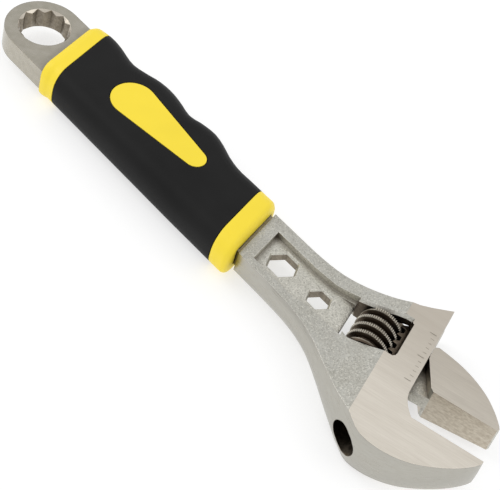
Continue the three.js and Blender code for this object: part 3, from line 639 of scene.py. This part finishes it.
# ---------------------------------------------------------------- settings
class WrenchSettings(bpy.types.PropertyGroup):
    """Sizes and colours that a user would change."""

    serrations: IntProperty(
        name="Serrations per turn", description="Number of teeth round the worm's crest",
        default=60, min=12, max=120)
    serration_depth: FloatProperty(
        name="Serration depth", description="Depth of the worm's teeth", default=0.36 * MM, unit="LENGTH")
    grip_colour: FloatVectorProperty(
        name="Grip accent", description="Colour of the collars and teardrops",
        default=linear("#ffe43f")[:3], size=3, subtype="COLOR")
    floor_glow: FloatProperty(
        name="Floor glow", description="How much the floor lights up from behind, as a light table does",
        default=0.62, min=0.0, max=1.0, subtype="FACTOR")
    floor_shade: FloatProperty(
        name="Floor brightness", description="How pale the floor is",
        default=0.45, min=0.0, max=1.0, subtype="FACTOR")


# ---------------------------------------------------------------- operators
class WRENCH_OT_body(bpy.types.Operator):
    """Finish the forged body: sandy nickel skin, ground head faces, polished ring end"""

    bl_idname = "wrench.body"
    bl_label = "Wrench Body"

    def execute(self, context):
        piece = finished_copy("wrench_body", "forged_body")
        finishes = {
            "forged": forged_nickel("forged_nickel", "#cac9c2", "#bdbbb2", "#ebe9df"),
            "ground": ground_nickel("ground_nickel", "#f3ece0", "#e3dbce"),
            "milled": milled_steel(),
            "polished": polished_nickel(),
            # Walls of the bore and the worm's window: painted shade.
            "bored": dark_steel_and_wall_shade("bored_steel", "#7d7366", "#5c5347"),
            "satin": satin_nickel(),
            # Walls of the hex holes and the ring's hole: painted shade.
            "pressed": dark_steel_and_wall_shade("pressed_walls", "#a89f91", "#82796b"),
            # Painted light: the sunk panel and its walls get a lighter copy of the forged finish.
            "sunk": forged_nickel("sunk_nickel", "#dddbd1", "#cfcdc2", "#f8f5eb"),
        }
        paint(piece, finishes, body_finish)
        settle(piece, "wrench_body", "wrench")
        self.graduate()
        return {"FINISHED"}

    def graduate(self):
        """Adds the jaw scale beside the worm's window, on the upper ground face."""
        marks = bpy.data.objects.new("jaw_scale", bpy.data.meshes.new("jaw_scale"))
        bpy.context.scene.collection.objects.link(marks)
        fall = math.atan2(HEAD_DROP, HEAD_LENGTH)
        edge = SCALE_REACH - GROUND_REACH
        height = CAD_HIGH.z - MID_HEIGHT - edge * math.tan(fall)
        start = RING_CENTRE + REACH * SCALE_REACH + SLIDE * SCALE_START + UP * height
        grow(marks, scale_marks(), {
            "Spacing": 2.5 * MM, "Marks": 11, "Short Mark": 1.3 * MM, "Long Mark": 2.6 * MM,
            "Line Width": 0.16 * MM, "Start": start, "Slope": fall,
            "Finish": plain_steel("engraved_line", "#d6cec0", 0.4),
        })
        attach(marks, "wrench")


class WRENCH_OT_jaw(bpy.types.Operator):
    """Finish the movable jaw: ground sides, milled gripping face, forged web and rack rod"""

    bl_idname = "wrench.jaw"
    bl_label = "Movable Jaw"

    def execute(self, context):
        piece = finished_copy("movable_jaw", "sliding_jaw_finished")
        finishes = {
            "ground": ground_nickel("ground_jaw", "#e4ddd1", "#d0c9bd"),
            "milled": milled_steel(),
            "forged": forged_nickel("jaw_forging", "#cac9c2", "#bdbbb2", "#ebe9df"),
            "rack": dark_steel_and_wall_shade("rack_steel", "#8a7d6e", "#5e5347"),
        }
        paint(piece, finishes, jaw_finish)
        settle(piece, "movable_jaw", "sliding_jaw")
        return {"FINISHED"}


class WRENCH_OT_worm(bpy.types.Operator):
    """Finish the worm, its pin and its spring"""

    bl_idname = "wrench.worm"
    bl_label = "Worm, Pin and Spring"

    def execute(self, context):
        settings = context.scene.wrench
        worm = finished_copy("worm_knurl", "worm_thread")
        depth = settings.serration_depth
        worn_crests(worm, WORM_CREST - depth * 1.1)
        worm.data.materials.clear()
        grow(worm, crest_teeth(), {
            "Pitch": WORM_PITCH, "Crest Radius": WORM_CREST, "Teeth Per Turn": settings.serrations,
            "Tooth Depth": depth, "Tooth Length": 1.35 * MM, "Half Travel": 7.8 * MM, "Finish": worm_steel(),
        })
        settle(worm, "worm_knurl", "worm")
        for node, slot, colour, roughness in (
            ("worm_pin", "pin_steel", "#a5a29b", 0.3), ("worm_spring", "spring_steel", "#b4b5b6", 0.25),
        ):
            piece = finished_copy(node, node + "_finished")
            piece.data.materials.clear()
            piece.data.materials.append(plain_steel(slot, colour, roughness))
            settle(piece, node, "wrench")
        return {"FINISHED"}


class WRENCH_OT_grip(bpy.types.Operator):
    """Finish the two mouldings of the grip"""

    bl_idname = "wrench.grip"
    bl_label = "Grip"

    def execute(self, context):
        accent = context.scene.wrench.grip_colour
        yellow = moulded_polymer("yellow_polypropylene", accent, accent * 0.96, 0.42, 0.5, 0.25, 0.3)
        charcoal = Vector(linear("#212121")[:3])
        black = moulded_polymer("black_soft_cover", charcoal, charcoal * 0.8, 0.52, 0.35, 0.45, 0.1)
        for node, name, material, slot in (
            ("grip_core", "yellow_core", yellow, "yellow_plastic"),
            ("grip_cover", "black_cover", black, "black_rubber"),
        ):
            piece = finished_copy(node, name, 40)
            piece.data.materials.clear()
            piece.data.materials.append(material)
            settle(piece, node, "wrench")
        return {"FINISHED"}


class WRENCH_OT_stage(bpy.types.Operator):
    """Make the pale floor, the soft lights and the camera"""

    bl_idname = "wrench.stage"
    bl_label = "Stage"

    def execute(self, context):
        settings = context.scene.wrench
        bpy.ops.mesh.primitive_plane_add(size=6, location=(0, 0, CAD_LOW.z - 0.5 * MM))
        floor = context.object
        floor.name = "floor"
        material, tree, shader = new_material("pale_floor")
        shader.inputs["Base Color"].default_value = (settings.floor_shade,) * 3 + (1,)
        shader.inputs["Roughness"].default_value = 0.9
        shader.inputs["Specular IOR Level"].default_value = 0.0
        shader.inputs["Emission Color"].default_value = (1, 1, 1, 1)
        shader.inputs["Emission Strength"].default_value = settings.floor_glow
        floor.data.materials.append(material)
        self.light("key", (-0.95, -0.35, 0.9), 0.7, 4.0)
        self.light("fill", (0.9, 0.5, 0.9), 0.9, 2.2)
        context.scene.view_settings.view_transform = "Standard"
        world = bpy.data.worlds.new("soft_studio")
        world.use_nodes = True
        world.node_tree.nodes["Background"].inputs[0].default_value = (1, 1, 1, 1)
        world.node_tree.nodes["Background"].inputs[1].default_value = 0.76
        context.scene.world = world
        self.camera(context)
        return {"FINISHED"}

    def light(self, name, place, size, power):
        """A square soft light that points at the wrench."""
        data = bpy.data.lights.new(name, "AREA")
        data.size = size
        data.energy = power
        lamp = bpy.data.objects.new(name, data)
        lamp.location = place
        lamp.rotation_euler = (-Vector(place)).to_track_quat("-Z", "Y").to_euler()
        bpy.context.scene.collection.objects.link(lamp)

    def camera(self, context):
        """A long lens above the jaws' near side, turned about its own line of sight."""
        data = bpy.data.cameras.new("camera")
        data.sensor_width = 36
        data.lens = 111.7
        camera = bpy.data.objects.new("camera", data)
        azimuth, down, roll = math.radians(123.15), math.radians(47.94), math.radians(18.8)
        heading = Vector((math.cos(azimuth), math.sin(azimuth), 0))
        ahead = heading * math.cos(down) - UP * math.sin(down)
        level = Vector((math.sin(azimuth), -math.cos(azimuth), 0))
        above = level.cross(ahead)
        right = level * math.cos(roll) + above * math.sin(roll)
        top = right.cross(ahead)
        turn = Matrix((right, top, -ahead)).transposed()
        camera.matrix_world = Matrix.Translation(RING_CENTRE + CAMERA_FROM_RING) @ turn.to_4x4()
        context.scene.collection.objects.link(camera)
        context.scene.camera = camera


class WRENCH_PT_panel(bpy.types.Panel):
    """Lists the wrench's settings and steps"""

    bl_label = "Adjustable Wrench"
    bl_idname = "WRENCH_PT_panel"
    bl_space_type = "VIEW_3D"
    bl_region_type = "UI"
    bl_category = "Wrench"

    def draw(self, context):
        for name in WrenchSettings.__annotations__:
            self.layout.prop(context.scene.wrench, name)
        for operator in STEPS:
            self.layout.operator(operator.bl_idname)


STEPS = (WRENCH_OT_stage, WRENCH_OT_body, WRENCH_OT_jaw, WRENCH_OT_worm, WRENCH_OT_grip)
CLASSES = (WrenchSettings, *STEPS, WRENCH_PT_panel)


def register():
    for cls in CLASSES:
        bpy.utils.register_class(cls)
    bpy.types.Scene.wrench = PointerProperty(type=WrenchSettings)


def unregister():
    del bpy.types.Scene.wrench
    for cls in reversed(CLASSES):
        bpy.utils.unregister_class(cls)


def main():
    register()
    bpy.ops.wrench.stage()
    bpy.ops.wrench.body()
    bpy.ops.wrench.jaw()
    bpy.ops.wrench.worm()
    bpy.ops.wrench.grip()


if __name__ == "__main__":
    main()
